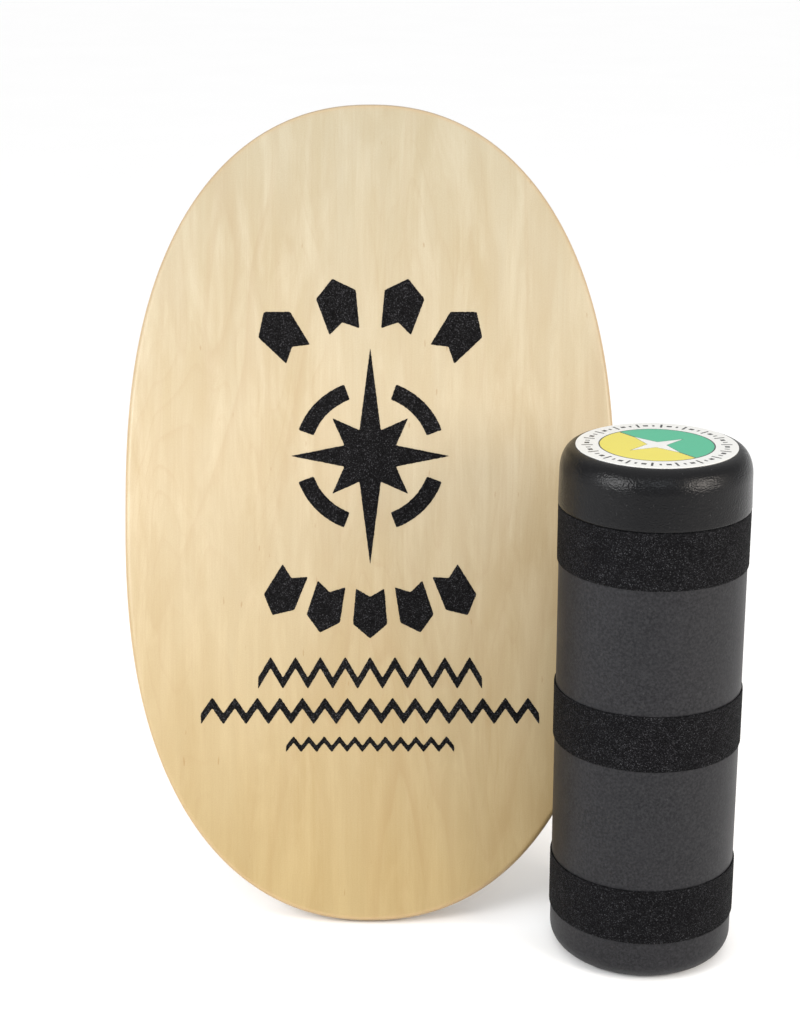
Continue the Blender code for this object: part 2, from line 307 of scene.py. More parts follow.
def mix(tree, factor, a, b, blend="MIX"):
    made = tree.nodes.new("ShaderNodeMix")
    made.data_type = "RGBA"
    made.blend_type = blend
    for index, value in ((0, factor), (6, a), (7, b)):
        if isinstance(value, bpy.types.NodeSocket):
            tree.links.new(value, made.inputs[index])
        elif index == 0:
            made.inputs[index].default_value = value
        else:
            made.inputs[index].default_value = (*value, 1.0)
    return made.outputs[2]


def stretched(tree, coords, scale):
    return node(tree, "Mapping", {"Vector": coords, "Scale": scale}).outputs[0]


def noise(tree, coords, scale, detail=2.0, roughness=0.5, distortion=0.0):
    made = node(tree, "TexNoise", {"Vector": coords, "Scale": scale, "Detail": detail,
                                   "Roughness": roughness, "Distortion": distortion})
    return made.outputs["Fac"]


def new_material(name):
    mat = bpy.data.materials.new(name)
    mat.use_nodes = True
    tree = mat.node_tree
    shader = tree.nodes["Principled BSDF"]
    coords = node(tree, "TexCoord").outputs["Object"]
    return mat, tree, shader, coords


def link(tree, value, shader, socket):
    tree.links.new(value, shader.inputs[socket])


def bump(tree, shader, height, strength, distance):
    made = node(tree, "Bump", {"Height": height, "Strength": strength, "Distance": distance})
    link(tree, made.outputs[0], shader, "Normal")


# ---- Materials -------------------------------------------------------------
def growth_lines(tree, coords, scale, rings, sharp, strength):
    """Thin lines where the knife crossed the growth rings: contours of a stretched field."""
    field = noise(tree, stretched(tree, coords, (1.0, 0.15, 1.0)), scale, 3.0, 0.45, 0.4)
    contour = calc(tree, "FRACT", calc(tree, "MULTIPLY", field, rings))
    line = ramp(tree, contour, (0.0, 0.0), (sharp, 0.06), (0.93, 1.0), (1.0, 0.0))
    where = noise(tree, stretched(tree, coords, (1.0, 0.30, 1.0)), 1.3 * scale, 2.0)
    return calc(tree, "MULTIPLY", line, ramp(tree, where, (0.40, 0.10 * strength), (0.66, strength)))


def veneer_colour(tree, coords, pale, warm, dark):
    """Rotary-cut veneer: broad tone, pale flames, streaks, growth lines, fibre, stains, flecks."""
    broad = noise(tree, stretched(tree, coords, (1.0, 0.30, 1.0)), 11.0, 4.0, 0.6)
    colour = mix(tree, ramp(tree, broad, (0.34, 0.0), (0.66, 1.0)), pale, warm)
    flame = noise(tree, stretched(tree, coords, (1.0, 0.16, 1.0)), 42.0, 4.0, 0.62, 0.7)
    paler = tuple(1.07 * c + 0.02 for c in pale)
    colour = mix(tree, calc(tree, "MULTIPLY", ramp(tree, flame, (0.46, 0.0), (0.66, 1.0)), 0.60),
                 colour, paler)
    streak = noise(tree, stretched(tree, coords, (1.0, 0.04, 1.0)), 95.0, 3.0, 0.6, 0.3)
    colour = mix(tree, calc(tree, "MULTIPLY", ramp(tree, streak, (0.42, 0.0), (0.74, 1.0)), 0.22),
                 colour, warm)
    wide = growth_lines(tree, coords, 5.5, 15.0, 0.60, 0.23)
    fine = growth_lines(tree, coords, 9.0, 30.0, 0.72, 0.16)
    colour = mix(tree, calc(tree, "MAXIMUM", wide, fine), colour, dark)
    fibre = noise(tree, stretched(tree, coords, (1.0, 0.022, 1.0)), 560.0, 3.0, 0.6)
    colour = mix(tree, calc(tree, "MULTIPLY", ramp(tree, fibre, (0.30, 1.0), (0.58, 0.0)), 0.11),
                 colour, dark)
    stain = noise(tree, stretched(tree, coords, (1.0, 0.55, 1.0)), 26.0, 3.0, 0.7)
    colour = mix(tree, calc(tree, "MULTIPLY", ramp(tree, stain, (0.66, 0.0), (0.86, 1.0)), 0.40),
                 colour, tuple(0.7 * w + 0.3 * d for w, d in zip(warm, dark)))
    fleck = noise(tree, stretched(tree, coords, (1.0, 0.18, 1.0)), 230.0, 1.0)
    spots = ramp(tree, fleck, (0.765, 0.0), (0.79, 1.0))
    colour = mix(tree, calc(tree, "MULTIPLY", spots, 0.60), colour, dark)
    return colour, fibre


def birch_plywood():
    mat, tree, shader, coords = new_material("birch_plywood")
    light, fibre = veneer_colour(tree, coords, *BIRCH)
    # painted light: the lower end darker and warmer as painted shade where the light falls off, the upper end
    # cooler and paler as a painted sheen of the coat
    place = node(tree, "SeparateXYZ", {"Vector": coords}).outputs
    share = calc(tree, "DIVIDE", place["Y"], DECK_HALF[1])
    along = calc(tree, "MULTIPLY_ADD", share, 0.5, 0.5)
    light = mix(tree, ramp(tree, along, (0.05, 1.0), (0.55, 0.0)), light, LOWER_END_PAINTED_SHADE,
                "MULTIPLY")
    light = mix(tree, ramp(tree, along, (0.55, 0.0), (0.97, 1.0)), light, UPPER_END_PAINTED_SHEEN,
                "MULTIPLY")
    # fine mottling of the sanded, sealed surface
    haze = noise(tree, coords, 900.0, 3.0, 0.75)
    light = mix(tree, calc(tree, "MULTIPLY", ramp(tree, haze, (0.38, 1.0), (0.62, 0.0)), 0.34),
                light, (0.78, 0.74, 0.66), "MULTIPLY")
    # plies at the edge: every second one shows end grain, at the sides or at the ends
    facing = node(tree, "TexCoord").outputs["Normal"]
    normal = node(tree, "SeparateXYZ", {"Vector": facing}).outputs
    depth = calc(tree, "MULTIPLY", place["Z"], -PLIES / DECK_THICKNESS)
    layer = calc(tree, "FLOOR", depth)
    cross_ply = calc(tree, "MODULO", layer, 2.0)
    along_ends = calc(tree, "ABSOLUTE", normal["Y"])
    at_sides = calc(tree, "ABSOLUTE", normal["X"])
    end_grain = calc(tree, "ADD", calc(tree, "MULTIPLY", cross_ply, at_sides),
                     calc(tree, "MULTIPLY", calc(tree, "SUBTRACT", 1.0, cross_ply), along_ends))
    speckle = noise(tree, coords, 1500.0, 2.0, 0.7)
    end_tone = mix(tree, speckle, *END_GRAIN)
    colour = mix(tree, calc(tree, "MULTIPLY", end_grain, 0.85), light, end_tone)
    # dark glue lines between them
    seam = calc(tree, "ABSOLUTE", calc(tree, "SUBTRACT", depth, calc(tree, "ROUND", depth)))
    inner = calc(tree, "MULTIPLY", calc(tree, "GREATER_THAN", depth, 0.5),
                 calc(tree, "LESS_THAN", depth, PLIES - 0.5))
    glue = calc(tree, "MULTIPLY", ramp(tree, seam, (0.03, 1.0), (0.08, 0.0)), inner)
    colour = mix(tree, calc(tree, "MULTIPLY", glue, 0.85), colour, GLUE)
    link(tree, colour, shader, "Base Color")
    grit = noise(tree, coords, 900.0, 2.0, 0.6)
    rough = calc(tree, "ADD", 0.34, calc(tree, "MULTIPLY", grit, 0.16))
    link(tree, rough, shader, "Roughness")
    shader.inputs["Coat Weight"].default_value = 0.25
    shader.inputs["Coat Roughness"].default_value = 0.35
    height = calc(tree, "ADD", calc(tree, "MULTIPLY", fibre, 0.4), grit)
    bump(tree, shader, height, 0.30, 0.00012)
    return mat


def stop_hardwood():
    mat, tree, shader, coords = new_material("stop_hardwood")
    across = node(tree, "Mapping", {"Vector": coords, "Rotation": (0.0, 0.0, math.pi / 2)})
    colour, fibre = veneer_colour(tree, across.outputs[0], *HARDWOOD)
    link(tree, colour, shader, "Base Color")
    link(tree, calc(tree, "ADD", 0.42, calc(tree, "MULTIPLY", fibre, 0.2)), shader, "Roughness")
    bump(tree, shader, fibre, 0.35, 0.0002)
    return mat


def screw_zinc():
    mat, tree, shader, coords = new_material("screw_zinc")
    patina = noise(tree, coords, 500.0, 3.0, 0.6)
    link(tree, mix(tree, patina, *ZINC), shader, "Base Color")
    link(tree, calc(tree, "ADD", 0.22, calc(tree, "MULTIPLY", patina, 0.25)), shader, "Roughness")
    shader.inputs["Metallic"].default_value = 1.0
    bump(tree, shader, noise(tree, coords, 2500.0, 2.0), 0.15, 0.0001)
    return mat


def grit_surface(name, dark, light, grain, rough):
    """Mineral grains in black resin: each grain has its own tone and sheen, and the bright grains' colour is
    partly painted glint.
    """
    mat, tree, shader, coords = new_material(name)
    cells = node(tree, "TexVoronoi", {"Vector": coords, "Scale": grain})
    tone = node(tree, "SeparateColor", {"Color": cells.outputs["Color"]}).outputs
    # brighter grains: partly each grain's own tone, partly painted glints
    grain_tone_and_painted_glint = ramp(tree, tone[0], (0.0, 0.0), (0.70, 0.09), (0.92, 0.38), (1.0, 1.0))
    cloud = noise(tree, coords, 70.0, 3.0, 0.6)
    worn = ramp(tree, cloud, (0.35, 0.55), (0.68, 1.0))
    link(tree, mix(tree, calc(tree, "MULTIPLY", grain_tone_and_painted_glint, worn), dark, light), shader, "Base Color")
    link(tree, calc(tree, "SUBTRACT", rough, calc(tree, "MULTIPLY", tone[1], 0.35)),
         shader, "Roughness")
    shader.inputs["Specular IOR Level"].default_value = 0.055
    height = calc(tree, "ADD", calc(tree, "SUBTRACT", 1.0, cells.outputs["Distance"]),
                  calc(tree, "MULTIPLY", tone[2], 0.6))
    bump(tree, shader, height, 0.9, 0.0004)
    return mat


def tube_plastic():
    """Extruded tube: matte, faintly clouded, with light scuffs and specks of dust."""
    mat, tree, shader, coords = new_material("tube_plastic")
    cloud = noise(tree, coords, 30.0, 4.0, 0.6)
    colour = mix(tree, ramp(tree, cloud, (0.3, 0.0), (0.7, 1.0)),
                 (0.0042, 0.0042, 0.0056), (0.0080, 0.0078, 0.0096))
    grain = noise(tree, coords, 430.0, 3.0, 0.7)
    colour = mix(tree, ramp(tree, grain, (0.38, 0.0), (0.66, 1.0)), colour,
                 (0.019, 0.019, 0.021))
    scuff_field = noise(tree, stretched(tree, coords, (1.0, 1.0, 9.0)), 45.0, 5.0, 0.75, 0.8)
    scuffs = ramp(tree, scuff_field, (0.66, 0.0), (0.74, 1.0))
    dust = ramp(tree, noise(tree, coords, 420.0, 2.0), (0.70, 0.0), (0.80, 1.0))
    marks = calc(tree, "MULTIPLY", calc(tree, "MAXIMUM", scuffs, dust), 0.22)
    link(tree, mix(tree, marks, colour, (0.12, 0.12, 0.125)), shader, "Base Color")
    fine = noise(tree, coords, 1100.0, 3.0, 0.6)
    link(tree, calc(tree, "ADD", 0.40, calc(tree, "MULTIPLY", cloud, 0.14)), shader, "Roughness")
    shader.inputs["Specular IOR Level"].default_value = 0.18
    bump(tree, shader, fine, 0.35, 0.0002)
    return mat


def cap_plastic():
    """Moulded cap: satin black with a pebbled, leather-like texture, its pebble tops painted lighter as painted
    glints, and a little dust.
    """
    mat, tree, shader, coords = new_material("cap_plastic")
    pebble = node(tree, "TexVoronoi", {"Vector": coords, "Scale": 760.0}, feature="SMOOTH_F1")
    pebble.inputs["Smoothness"].default_value = 0.7
    cloud = noise(tree, coords, 40.0, 3.0, 0.6)
    dust = ramp(tree, noise(tree, coords, 520.0, 1.0), (0.72, 0.0), (0.80, 1.0))
    colour = mix(tree, cloud, (0.001, 0.001, 0.0015), (0.002, 0.002, 0.0026))
    # painted glints: the pebble tops painted lighter where light would catch them
    painted_tip_glint = ramp(tree, pebble.outputs["Distance"], (0.10, 1.0), (0.40, 0.0))
    colour = mix(tree, calc(tree, "MULTIPLY", painted_tip_glint, 0.7), colour, (0.0055, 0.0055, 0.0065))
    colour = mix(tree, calc(tree, "MULTIPLY", dust, 0.20), colour, (0.12, 0.12, 0.12))
    link(tree, colour, shader, "Base Color")
    link(tree, calc(tree, "ADD", 0.20, calc(tree, "MULTIPLY", cloud, 0.08)), shader, "Roughness")
    shader.inputs["Specular IOR Level"].default_value = 0.185
    relief = calc(tree, "ADD", pebble.outputs["Distance"],
                  calc(tree, "MULTIPLY", noise(tree, coords, 300.0, 2.0), 0.5))
    bump(tree, shader, relief, 0.9, 0.00027)
    return mat


def label_ink(name, colour, rough=0.32):
    mat, tree, shader, coords = new_material(name)
    mottled = noise(tree, coords, 200.0, 3.0, 0.6)
    darker = tuple(c * 0.93 for c in colour)
    link(tree, mix(tree, mottled, darker, colour), shader, "Base Color")
    link(tree, calc(tree, "ADD", rough, calc(tree, "MULTIPLY", mottled, 0.1)),
         shader, "Roughness")
    bump(tree, shader, noise(tree, coords, 900.0, 2.0), 0.08, 0.0001)
    return mat


# ---- Deck ------------------------------------------------------------------
def deck_outline(inset=0.0):
    """The oval, moved in by a distance along its own normal."""
    a, b = DECK_HALF
    p, q = DECK_POWERS
    angles = 2 * np.pi * np.arange(DECK_STEPS) / DECK_STEPS
    c, s = np.cos(angles), np.sin(angles)
    x = a * np.sign(c) * np.abs(c) ** (2 / p)
    y = b * np.sign(s) * np.abs(s) ** (2 / q)
    gx = p * np.abs(x / a) ** (p - 1) * np.sign(x) / a
    gy = q * np.abs(y / b) ** (q - 1) * np.sign(y) / b
    length = np.hypot(gx, gy)
    return x - inset * gx / length, y - inset * gy / length


def deck_section():
    """(inset, depth) points from the standing face, over the edge, to the underside."""
    r, t = DECK_EDGE_RADIUS, DECK_THICKNESS
    ply = t / PLIES
    points = [(share * r, 0.0) for share in DECK_FLAT_INSETS]
    points += [(r - r * math.sin(a), r - r * math.cos(a)) for a in DECK_EDGE_ANGLES]
    side = []
    for i in range(1, PLIES):
        seam = i * ply
        if r < seam < t - r:
            side += [(0.0, seam - GLUE_HALF_WIDTH), (GLUE_DEPTH, seam),
                     (0.0, seam + GLUE_HALF_WIDTH), (0.0, seam + ply / 2)]
    points += [s for s in side if s[1] < t - r]
    points += [(r - r * math.cos(a), t - r + r * math.sin(a)) for a in DECK_EDGE_ANGLES]
    points += [(share * r, t) for share in reversed(DECK_FLAT_INSETS)]
    return points


def make_deck(mat):
    verts, faces = [], []
    section = deck_section()
    for inset, depth in section:
        x, y = deck_outline(inset)
        verts += [(x[i], y[i], -depth) for i in range(DECK_STEPS)]
    for k in range(len(section) - 1):
        low, high = k * DECK_STEPS, (k + 1) * DECK_STEPS
        for i in range(DECK_STEPS):
            j = (i + 1) % DECK_STEPS
            faces.append((low + i, high + i, high + j, low + j))
    faces.append(tuple(range(DECK_STEPS)))
    last = (len(section) - 1) * DECK_STEPS
    faces.append(tuple(last + i for i in reversed(range(DECK_STEPS))))
    screws = [n for n in sorted(NODES) if n.startswith("stop_screw_")]
    mesh = carved("deck", mesh_from("deck", verts, faces), [screw_hole(s) for s in screws], 50)
    finish_piece("deck", mesh, DECK_FRAME, "deck", ["deck_panel"], [mat])


# ---- Grit print ------------------------------------------------------------
def top_outline(name):
    """The outline of a CAD patch's outer face, in the deck's frame, in order."""
    bm = bmesh.new()
    bm.from_mesh(NODES[name].data)
    bm.transform(DECK_FRAME.inverted())
    bmesh.ops.remove_doubles(bm, verts=bm.verts, dist=1e-6)
    top = max(v.co.z for v in bm.verts)
    faces = [f for f in bm.faces if all(top - v.co.z < 1e-5 for v in f.verts)]
    inside = set(faces)
    following = {}
    for edge in (e for f in faces for e in f.edges):
        if sum(f in inside for f in edge.link_faces) == 1:
            for v, w in (edge.verts, reversed(edge.verts)):
                following.setdefault(v, []).append(w)
    start = min(following, key=lambda v: (v.co.y, v.co.x))
    loop, previous = [start], None
    while True:
        here = loop[-1]
        step = next(w for w in following[here] if w is not previous)
        if step is start:
            break
        previous = here
        loop.append(step)
    points = np.array([(v.co.x, v.co.y) for v in loop])
    bm.free()
    x, y = points.T
    area = np.sum(x * np.roll(y, -1) - np.roll(x, -1) * y)
    return points if area > 0 else points[::-1]


def resampled(points, step):
    """Evenly spaced points along a closed outline, with its corners eased."""
    closed = np.vstack([points, points[:1]])
    lengths = np.hypot(*np.diff(closed, axis=0).T)
    places = np.concatenate([[0.0], np.cumsum(lengths)])
    count = max(24, int(places[-1] / step))
    along = np.linspace(0.0, places[-1], count, endpoint=False)
    out = np.stack([np.interp(along, places, closed[:, i]) for i in (0, 1)], axis=1)
    for _ in range(3):
        out = 0.5 * out + 0.25 * (np.roll(out, 1, axis=0) + np.roll(out, -1, axis=0))
    return out


def outward(points):
    along = np.roll(points, -1, axis=0) - np.roll(points, 1, axis=0)
    along /= np.hypot(*along.T)[:, None]
    return np.stack([along[:, 1], -along[:, 0]], axis=1)


def inside_polygon(points, polygon):
    x, y = points[:, 0][:, None], points[:, 1][:, None]
    ax, ay = polygon.T
    bx, by = np.roll(polygon, -1, axis=0).T
    crosses = (ay > y) != (by > y)
    with np.errstate(divide="ignore", invalid="ignore"):
        cut = (bx - ax) * (y - ay) / (by - ay) + ax
    return np.sum(crosses & (x < cut), axis=1) % 2 == 1


def distance_to(points, polygon):
    best = np.full(len(points), 1.0)
    for start in range(0, len(points), 2000):
        part = points[start:start + 2000]
        gaps = np.hypot(part[:, 0][:, None] - polygon[:, 0], part[:, 1][:, None] - polygon[:, 1])
        best[start:start + 2000] = gaps.min(axis=1)
    return best


def room_beside(points):
    """For each point of an outline, how far the outline's next-nearest stretch is."""
    count = len(points)
    gaps = np.hypot(*(points[:, None, :] - points[None, :, :]).transpose(2, 0, 1))
    steps = np.abs(np.arange(count)[:, None] - np.arange(count)[None, :])
    steps = np.minimum(steps, count - steps)
    gaps[steps < 4] = 1.0
    return gaps.min(axis=1)


def filled(outline, rng):
    """Triangles over an outline, with jittered points spread inside it."""
    low, high = outline.min(axis=0), outline.max(axis=0)
    grid = np.stack(np.meshgrid(np.arange(low[0], high[0], PRINT_STEP),
                                np.arange(low[1], high[1], PRINT_STEP)), axis=-1).reshape(-1, 2)
    grid += rng.uniform(-0.3, 0.3, grid.shape) * PRINT_STEP
    grid = grid[inside_polygon(grid, outline)]
    grid = grid[distance_to(grid, outline) > PRINT_STEP * 0.55]
    flat = [Vector(p) for p in np.vstack([outline, grid])]
    count = len(outline)
    edges = [(i, (i + 1) % count) for i in range(count)]
    points, _, triangles, _, _, _ = delaunay_2d_cdt(flat, edges, [], 1, 1e-8)
    return points, triangles


def make_patch(name, mat, rng):
    """One patch of grit: an outline that is ragged where it has room, and standing grains."""
    outline = resampled(top_outline(name), PRINT_OUTLINE_STEP)
    outline = outline[room_beside(outline) > PRINT_THINNEST]
    room = np.clip((room_beside(outline) - PRINT_ROOM[0]) / PRINT_ROOM[1], 0.0, 1.0)
    gaps = np.hypot(*(np.roll(outline, -1, axis=0) - outline).T)
    room *= np.clip(np.minimum(gaps, np.roll(gaps, 1)) / PRINT_OUTLINE_STEP, 0.0, 1.0)
    shift = rng.normal(0.0, PRINT_RAGGED, len(outline)) * room
    outline += outward(outline) * shift[:, None]
    points, triangles = filled(outline, rng)
    count = len(outline)
    heights = PRINT_HEIGHT + rng.normal(0.0, PRINT_GRAIN, len(points))
    heights[:count] = PRINT_RIM_HEIGHT
    verts = [(p.x, p.y, max(PRINT_LEAST_HEIGHT, h)) for p, h in zip(points, heights)]
    faces = [tuple(t) for t in triangles]
    base = len(verts)
    verts += [(x, y, 0.0) for x, y in outline]
    faces += [(base + i, base + (i + 1) % count, (i + 1) % count, i) for i in range(count)]
    faces.append(tuple(base + i for i in reversed(range(count))))
    piece = name.replace("grit", "print")
    finish_piece(piece, mesh_from(piece, verts, faces), DECK_FRAME, "deck", [name],
                 [mat])


# ---- Stop bars and screws --------------------------------------------------
def frame_span(name, direction):
    """A CAD node's span along a direction, measured from the deck's frame."""
    low, high = span(name, direction)
    return low - DECK_MIDDLE.dot(direction), high - DECK_MIDDLE.dot(direction)


def bar_outline(length, width, corner):
    points = []
    for i, (sx, sy) in enumerate(((1, 1), (-1, 1), (-1, -1), (1, -1))):
        points += arc((sx * (length / 2 - corner), sy * (width / 2 - corner)), corner, corner,
                      90 * i, 90 * i + 90, 12)
    return points


def mesh_of(bm, name):
    mesh = bpy.data.meshes.new(name)
    bm.to_mesh(mesh)
    bm.free()
    return mesh


def carved(name, mesh, cutters, sharp_angle):
    """The mesh with each cutter mesh, already in its place, cut out of it."""
    scene = bpy.context.scene.collection
    blank = bpy.data.objects.new("blank", mesh)
    scene.objects.link(blank)
    made = [blank]
    for cutter_mesh in cutters:
        cutter = bpy.data.objects.new("cutter", cutter_mesh)
        scene.objects.link(cutter)
        made.append(cutter)
        cut = blank.modifiers.new("cut", "BOOLEAN")
        cut.object = cutter
        cut.solver = "EXACT"
    depsgraph = bpy.context.evaluated_depsgraph_get()
    result = bpy.data.meshes.new_from_object(blank.evaluated_get(depsgraph))
    for obj in made:
        bpy.data.objects.remove(obj)
    # the cut leaves its faces in any order, so they are put in a fixed one
    corners = [list(face.vertices) for face in result.polygons]
    starts = [face.index(min(face)) for face in corners]
    faces = sorted(tuple(face[i:] + face[:i]) for face, i in zip(corners, starts))
    return mesh_from(name, [v.co for v in result.vertices], faces, sharp_angle=sharp_angle)


def screw_place(name):
    """Where a screw's axis is across and along the deck, and how deep its head's face is."""
    return (middle(name, ACROSS) - DECK_MIDDLE.dot(ACROSS),
            middle(name, ALONG) - DECK_MIDDLE.dot(ALONG),
            frame_span(name, FRONT)[0])


def screw_hole(name):
    """The countersunk pilot hole of one screw, in the deck's frame."""
    u, v, face = screw_place(name)
    head = size(name, ACROSS) / 2 + SCREW_HOLE_CLEARANCE
    shank = head * SCREW_SHANK
    length = size(name, FRONT) + 2 * SCREW_HOLE_CLEARANCE
    profile = [(0.0, -SCREW_HOLE_PAST), (head, -SCREW_HOLE_PAST), (head, SCREW_SINK[0]),
               (shank, SCREW_SINK[1]), (shank, length), (0.0, length)]
    verts, faces = lathe(profile, SCREW_STEPS)
    mesh = mesh_from("hole", verts, faces, smooth=False)
    mesh.transform(Matrix.Translation((u, v, face)))
    return mesh


def prism(outline, bottom, top, taper=1.0):
    """An upright solid on an outline, its top scaled by the taper."""
    bm = bmesh.new()
    face = bm.faces.new([bm.verts.new((x, y, bottom)) for x, y in outline])
    grown = bmesh.ops.extrude_face_region(bm, geom=[face])["geom"]
    lid = [g for g in grown if isinstance(g, bmesh.types.BMVert)]
    bmesh.ops.translate(bm, verts=lid, vec=(0.0, 0.0, top - bottom))
    bmesh.ops.scale(bm, verts=lid, vec=(taper, taper, 1.0))
    bmesh.ops.recalc_face_normals(bm, faces=bm.faces)
    return bm


def make_stop(name, screws, mat):
    u0, u1 = frame_span(name, ACROSS)
    v0, v1 = frame_span(name, ALONG)
    n0, n1 = frame_span(name, FRONT)
    bm = prism([(x, y + (v0 + v1) / 2) for x, y in
                bar_outline(u1 - u0, v1 - v0, STOP_CORNER_RADIUS)], n0, n1)
    sharp = [e for e in bm.edges if e.calc_face_angle(0.0) > math.radians(60)]
    bmesh.ops.bevel(bm, geom=sharp, offset=STOP_EDGE_RADIUS, segments=5, affect="EDGES",
                    profile=0.5)
    mesh = carved(name + "_bar", mesh_of(bm, "bar"), [screw_hole(s) for s in screws], 35)
    finish_piece(name + "_bar", mesh, DECK_FRAME, "deck", [name], [mat])


def make_screw(name, mat):
    """A countersunk head with a tapered cross recess, on a threaded shank."""
    u, v, face = screw_place(name)
    head = size(name, ACROSS) / 2
    shank = head * SCREW_SHANK
    length = size(name, FRONT)
    profile = [(0.0, 0.0)] + [(head - inset, z) for inset, z in HEAD_PROFILE]
    profile.append((shank, HEAD_HEIGHT))
    z = THREAD_START
    while z < length - THREAD_END:
        profile += [(shank * THREAD_ROOT, z), (shank, z + SCREW_PITCH / 2)]
        z += SCREW_PITCH
    profile += [(shank * THREAD_ROOT, length - SCREW_POINT), (0.0, length)]
    verts, faces = lathe(profile, SCREW_STEPS)
    reach, arm = head * RECESS_REACH, head * RECESS_ARM
    cross = [(reach, -arm), (reach, arm), (arm, arm), (arm, reach), (-arm, reach), (-arm, arm),
             (-reach, arm), (-reach, -arm), (-arm, -arm), (-arm, -reach), (arm, -reach),
             (arm, -arm)]
    recess = mesh_of(prism(cross, RECESS_TOP, RECESS_DEPTH, RECESS_TAPER), "recess")
    mesh = carved(name + "_zinc", mesh_from("screw", verts, faces), [recess], 30)
    place = DECK_FRAME @ Matrix.Translation((u, v, face))
    finish_piece(name + "_zinc", mesh, place, "deck", [name], [mat])


# ---- Roller ----------------------------------------------------------------
def slow_wobble(amount):
    """The slight out-of-round of a moulded shell."""
    def wobble(angle, radius, height):
        return amount * (math.sin(3 * angle + 9 * height) + 0.6 * math.sin(5 * angle - 14 * height))
    return wobble


def make_tube(mat):
    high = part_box("roller_tube")[1]
    radius = radius_of("roller_tube")
    wall = TUBE_WALL
    base, rise = radius - BASE_ROUND[0], BASE_ROUND[1]
    inner = radius - wall
    profile = [(0.0, 0.0), (base * 0.5, 0.0)]
    profile += arc((base, rise), radius - base, rise, -90, 0, 18)
    chamfer, inner_chamfer = TUBE_RIM
    profile += [(radius, z) for z in np.linspace(rise, high.z - chamfer, 40)[1:]]
    profile += [(radius - chamfer, high.z), (inner + inner_chamfer, high.z),
                (inner, high.z - inner_chamfer)]
    profile += arc((base, rise), inner - base, rise - wall, 0, -90, 8)
    profile += [(0.0, wall)]
    verts, faces = lathe(profile, ROLLER_STEPS, slow_wobble(TUBE_WOBBLE))
    mesh = mesh_from("tube", verts, faces, sharp_angle=40)
    finish_piece("tube", mesh, ROLLER_FRAME, "roller", ["roller_tube"], [mat])


def make_cap(mat):
    low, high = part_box("roller_cap")
    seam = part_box("roller_tube")[1].z + CAP_GAP
    radius = radius_of("roller_cap")
    top = radius_of("cap_label") + LABEL_EDGE
    spigot = radius_of("roller_tube") - TUBE_WALL - CAP_GAP
    hollow = spigot - SPIGOT_WALL
    foot = high.z - SHOULDER_DROP
    side = radius - CAP_DRAFT
    ceiling = high.z - CAP_WALL
    edge = CAP_LOWER_EDGE
    corner = CAP_CEILING_ROUND
    profile = [(0.0, ceiling)]
    profile += arc((hollow - corner, ceiling - corner), corner, corner, 90, 0, 6)
    profile += [(hollow, low.z), (spigot - SPIGOT_LEAD_IN[0], low.z),
                (spigot, low.z + SPIGOT_LEAD_IN[1]), (spigot, seam)]
    profile += arc((radius - edge, seam + edge), edge, edge, -90, 0, 5)
    for t in np.linspace(0, 1, 14)[1:-1]:
        profile.append((radius - CAP_DRAFT * t, seam + edge + t * (foot - seam - edge)))
    profile += arc((top, foot), side - top, SHOULDER_DROP, 0, 90, 26)
    profile += [(top - 0.004, high.z), (top * 0.5, high.z), (0.0, high.z)]
    verts, faces = lathe(profile, ROLLER_STEPS, slow_wobble(CAP_WOBBLE))
    mesh = mesh_from("cap", verts, faces, sharp_angle=50)
    finish_piece("cap", mesh, ROLLER_FRAME, "roller", ["roller_cap"], [mat])


def make_band(name, mat, rng):
    """A strip of abrasive tape round the tube, with a butt seam and standing grains."""
    low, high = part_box(name)
    inner = radius_of("roller_tube") + BAND_LIFT
    outer = radius_of(name)
    steps = int(2 * math.pi * outer / BAND_STEP)
    rows = int((high.z - low.z) / BAND_STEP)
    heights = np.linspace(low.z, high.z, rows + 1)
    angles = 2 * math.pi * np.arange(steps) / steps
    from_seam = np.angle(np.exp(1j * (angles - BAND_SEAM_ANGLE))) * outer
    seam = np.exp(-(from_seam / BAND_SEAM_WIDTH) ** 2)
    verts, faces = [], []
    edge_low = rng.normal(0.0, BAND_EDGE_RAGGED * 0.5, steps)
    edge_high = rng.normal(0.0, BAND_EDGE_RAGGED * 0.5, steps)
    for i, z in enumerate(heights):
        grain = rng.normal(0.0, BAND_GRAIN, steps)
        ragged = np.zeros(steps)
        radii = outer - BAND_GRAIN_DROP + grain - BAND_SEAM_DEPTH * seam
        if i in (0, rows):
            ragged = np.abs(edge_low) if i == 0 else -np.abs(edge_high)
            radii = np.full(steps, outer - BAND_EDGE_DROP)
        radii = np.minimum(radii, outer)
        verts += [(r * math.cos(a), r * math.sin(a), z + d)
                  for r, a, d in zip(radii, angles, ragged)]
    for z in (heights[-1], heights[0]):
        verts += [(inner * math.cos(a), inner * math.sin(a), z) for a in angles]
    total = rows + 3
    for i in range(total):
        k = (i + 1) % total
        for j in range(steps):
            m = (j + 1) % steps
            faces.append((i * steps + j, i * steps + m, k * steps + m, k * steps + j))
    piece = name.replace("grip", "tape")
    finish_piece(piece, mesh_from(piece, verts, faces), ROLLER_FRAME, "roller",
                 [name], [mat])


# ---- Label -----------------------------------------------------------------
def circle(radius, steps, start=0.0, end=360.0):
    angles = np.radians(np.linspace(start, end, steps, endpoint=end - start < 360.0))
    return np.stack([radius * np.cos(angles), radius * np.sin(angles)], axis=1)


def turned(points, angle):
    c, s = math.cos(angle), math.sin(angle)
    return np.array([(c * x - s * y, s * x + c * y) for x, y in points])


def star(reach, waist, arms):
    radii = [reach if i % 2 == 0 else waist for i in range(2 * arms)]
    return np.array([(r * math.cos(math.pi * i / arms), r * math.sin(math.pi * i / arms))
                     for i, r in enumerate(radii)])


